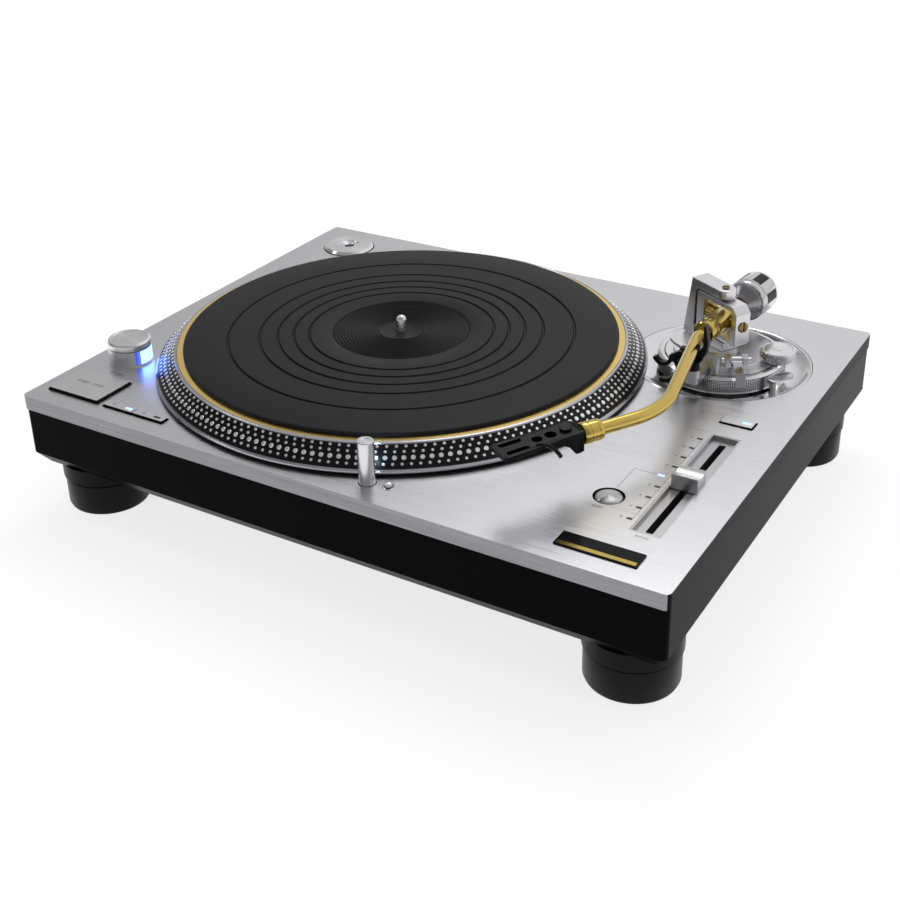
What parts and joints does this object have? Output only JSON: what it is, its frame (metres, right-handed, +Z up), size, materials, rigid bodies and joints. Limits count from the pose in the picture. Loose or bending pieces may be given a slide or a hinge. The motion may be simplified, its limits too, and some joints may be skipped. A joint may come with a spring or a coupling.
{
  "type": "turntable",
  "caption": "Direct drive record player: brushed plate on a black case, brass-edged platter with a ringed mat, bent gold arm on a height dial, pitch slider and pop-up light.",
  "frame": {"origin": "middle of the plinth's footprint, on the plane the feet stand on", "axes": "+X towards the player's right, where the arm is, +Y towards the back, +Z up"},
  "size_m": [0.453, 0.353, 0.1381],
  "materials": {
    "silver_plate": "brushed and clear anodised",
    "case_moulding": "fine textured black moulding",
    "base_rubber": "heavy black damping rubber",
    "screw_steel": "zinc plated",
    "foot_plastic": "satin black",
    "platter_aluminium": "turned and polished with raised dots round the edge",
    "brass_plate": "fine turned brass",
    "mat_rubber": "black, ringed",
    "magnet_iron": "ferrite",
    "spindle_steel": "ground and polished",
    "motor_metal": "black painted",
    "bearing_brass": "turned",
    "winding_copper": "varnished copper windings on a board",
    "circuit_board": "green board",
    "control_chrome": "bright turned aluminium",
    "clear_lens": "clear, lit from inside",
    "black_key": "satin black",
    "badge_black": "gloss black, bare, with gold lines",
    "adaptor_aluminium": "turned bright",
    "arm_bright_metal": "turned and polished",
    "arm_satin_metal": "blasted and anodised silver",
    "gold_tube": "polished gold",
    "shell_black": "anodised black",
    "weight_chrome": "polished"
  },
  "bodies": {
    "base": {"top_panel": "silver_plate", "chassis": "case_moulding", "base_cover": "base_rubber", "base_screws": "screw_steel", "foot_collars": "foot_plastic", "motor_housing": "motor_metal", "bearing_sleeve": "bearing_brass", "stator": "winding_copper", "control_board": "circuit_board", "power_supply": "circuit_board", "pod_housing": "control_chrome", "strobe_lens": "clear_lens", "pitch_fader_body": "silver_plate", "badge_plate": "badge_black", "terminal_bays": "black_key", "mains_inlet": "black_key", "phono_sockets": "bearing_brass", "ground_terminal": "screw_steel", "arm_well": "silver_plate", "arm_base": "arm_satin_metal"},
    "turning_platter": {"platter": "platter_aluminium", "platter_top_ring": "brass_plate", "rubber_mat": "mat_rubber", "platter_damping": "base_rubber", "rotor_magnet": "magnet_iron", "spindle": "spindle_steel"},
    "power_switch": {"power_knob": "control_chrome"},
    "start_key": {"start_stop_button": "silver_plate"},
    "speed_33_key": {"speed_button_33": "silver_plate"},
    "speed_45_key": {"speed_button_45": "silver_plate"},
    "reset_key": {"reset_button": "control_chrome"},
    "range_key": {"pitch_range_button": "silver_plate"},
    "release_key": {"target_release_button": "control_chrome"},
    "pop_up_light": {"target_light": "control_chrome"},
    "fader": {"pitch_fader_knob": "control_chrome"},
    "adaptor": {"single_adaptor": "adaptor_aluminium"},
    "height_ring": {"height_dial": "arm_bright_metal"},
    "deck": {"arm_deck": "arm_satin_metal", "cue_bracket": "arm_satin_metal", "arm_rest": "black_key", "gimbal_yoke": "arm_satin_metal", "upright_pivot_screws": "screw_steel"},
    "lock_lever": {"height_lock_lever": "arm_bright_metal"},
    "antiskate": {"antiskate_dial": "arm_bright_metal"},
    "cue_handle": {"cue_lever": "arm_bright_metal"},
    "lifter": {"cue_lifter": "mat_rubber"},
    "clamp": {"arm_clamp": "black_key"},
    "gimbal": {"gimbal_ring": "arm_satin_metal", "cross_pivot_screws": "screw_steel"},
    "arm": {"pivot_barrel": "gold_tube", "arm_tube": "gold_tube", "headshell": "shell_black", "finger_lift": "shell_black"},
    "collar": {"locking_collar": "gold_tube"},
    "force_ring": {"force_scale_ring": "arm_bright_metal"},
    "weight": {"counterweight": "weight_chrome"},
    "front_left_foot": {"foot_front_left": "foot_plastic"},
    "front_right_foot": {"foot_front_right": "foot_plastic"},
    "back_left_foot": {"foot_back_left": "foot_plastic"},
    "back_right_foot": {"foot_back_right": "foot_plastic"}
  },
  "joints": [
    {"name": "platter_spin", "type": "hinge", "parent": "base", "child": "turning_platter", "pos_m": [-0.0424, -0.0046, 0.09], "axis": [0, 0, -1], "continuous": true},
    {"name": "power_turn", "type": "hinge", "parent": "base", "child": "power_switch", "pos_m": [-0.2, -0.102, 0.098], "axis": [0, 0, -1], "range_deg": [0, 45]},
    {"name": "start_stop_press", "type": "slide", "parent": "base", "child": "start_key", "axis": [0, 0, -1], "range_m": [0, 0.0012], "stiffness_N_per_m": 500, "springref_m": -0.003},
    {"name": "speed_33_press", "type": "slide", "parent": "base", "child": "speed_33_key", "axis": [0, 0, -1], "range_m": [0, 0.0009], "stiffness_N_per_m": 500, "springref_m": -0.003},
    {"name": "speed_45_press", "type": "slide", "parent": "base", "child": "speed_45_key", "axis": [0, 0, -1], "range_m": [0, 0.0009], "stiffness_N_per_m": 500, "springref_m": -0.003},
    {"name": "reset_press", "type": "slide", "parent": "base", "child": "reset_key", "axis": [0, 0, -1], "range_m": [0, 0.0009], "stiffness_N_per_m": 500, "springref_m": -0.003},
    {"name": "pitch_range_press", "type": "slide", "parent": "base", "child": "range_key", "axis": [0, 0, -1], "range_m": [0, 0.0009], "stiffness_N_per_m": 500, "springref_m": -0.003},
    {"name": "target_release_press", "type": "slide", "parent": "base", "child": "release_key", "axis": [0, 0, -1], "range_m": [0, 0.0012], "stiffness_N_per_m": 500, "springref_m": -0.003},
    {"name": "target_light_drop", "type": "slide", "parent": "base", "child": "pop_up_light", "axis": [0, 0, -1], "range_m": [0, 0.026]},
    {"name": "pitch_slide", "type": "slide", "parent": "base", "child": "fader", "axis": [0, 1, 0], "range_m": [-0.0504, 0.0504]},
    {"name": "adaptor_lift", "type": "slide", "parent": "base", "child": "adaptor", "axis": [0, 0, 1], "range_m": [0, 0.02]},
    {"name": "height_dial_turn", "type": "hinge", "parent": "base", "child": "height_ring", "pos_m": [0.1516, 0.0867, 0.085], "axis": [0, 0, 1], "range_deg": [0, 360]},
    {"name": "arm_height", "type": "slide", "parent": "base", "child": "deck", "axis": [0, 0, 1], "range_m": [0, 0.006]},
    {"name": "height_lock_turn", "type": "hinge", "parent": "base", "child": "lock_lever", "pos_m": [0.1951, 0.06641, 0.088], "axis": [0, 0, -1], "range_deg": [0, 60]},
    {"name": "antiskate_turn", "type": "hinge", "parent": "deck", "child": "antiskate", "pos_m": [0.188, 0.092, 0.096], "axis": [0, 0, -1], "range_deg": [0, 270]},
    {"name": "cue_lever_turn", "type": "hinge", "parent": "deck", "child": "cue_handle", "pos_m": [0.17, 0.063, 0.0982], "axis": [-0.8746, -0.4848, 0], "range_deg": [0, 70]},
    {"name": "cue_lift", "type": "slide", "parent": "deck", "child": "lifter", "axis": [0, 0, 1], "range_m": [0, 0.0067]},
    {"name": "arm_clamp_turn", "type": "hinge", "parent": "deck", "child": "clamp", "pos_m": [0.1423, 0.036, 0.1077], "axis": [0, 1, 0], "range_deg": [0, 150]},
    {"name": "arm_swing", "type": "hinge", "parent": "deck", "child": "gimbal", "pos_m": [0.1516, 0.0867, 0.1155], "axis": [0, 0, -1], "range_deg": [0, 42.5]},
    {"name": "arm_lift", "type": "hinge", "parent": "gimbal", "child": "arm", "pos_m": [0.1516, 0.0867, 0.1155], "axis": [-0.8643, 0.503, 0], "range_deg": [0, 8]},
    {"name": "locking_collar_turn", "type": "hinge", "parent": "arm", "child": "collar", "pos_m": [0.14284, -0.09511, 0.1155], "axis": [-0.515, -0.8572, 0], "range_deg": [0, 90]},
    {"name": "force_slide", "type": "slide", "parent": "arm", "child": "force_ring", "axis": [0.0872, 0.9962, 0], "range_m": [-0.006, 0.006]},
    {"name": "force_turn", "type": "hinge", "parent": "force_ring", "child": "weight", "pos_m": [0.15509, 0.12655, 0.1155], "axis": [0.0872, 0.9962, 0], "range_deg": [-360, 360]},
    {"name": "foot_front_left_height", "type": "slide", "parent": "base", "child": "front_left_foot", "axis": [0, 0, -1], "range_m": [0, 0.006]},
    {"name": "foot_front_right_height", "type": "slide", "parent": "base", "child": "front_right_foot", "axis": [0, 0, -1], "range_m": [0, 0.006]},
    {"name": "foot_back_left_height", "type": "slide", "parent": "base", "child": "back_left_foot", "axis": [0, 0, -1], "range_m": [0, 0.006]},
    {"name": "foot_back_right_height", "type": "slide", "parent": "base", "child": "back_right_foot", "axis": [0, 0, -1], "range_m": [0, 0.006]}
  ],
  "couplings": [
    {"joint": "height_dial_turn", "follows": "arm_height", "rad_per_m": 1047.2},
    {"joint": "cue_lever_turn", "follows": "cue_lift", "rad_per_m": 182.34},
    {"joint": "force_turn", "follows": "force_slide", "rad_per_m": 1047.2}
  ]
}
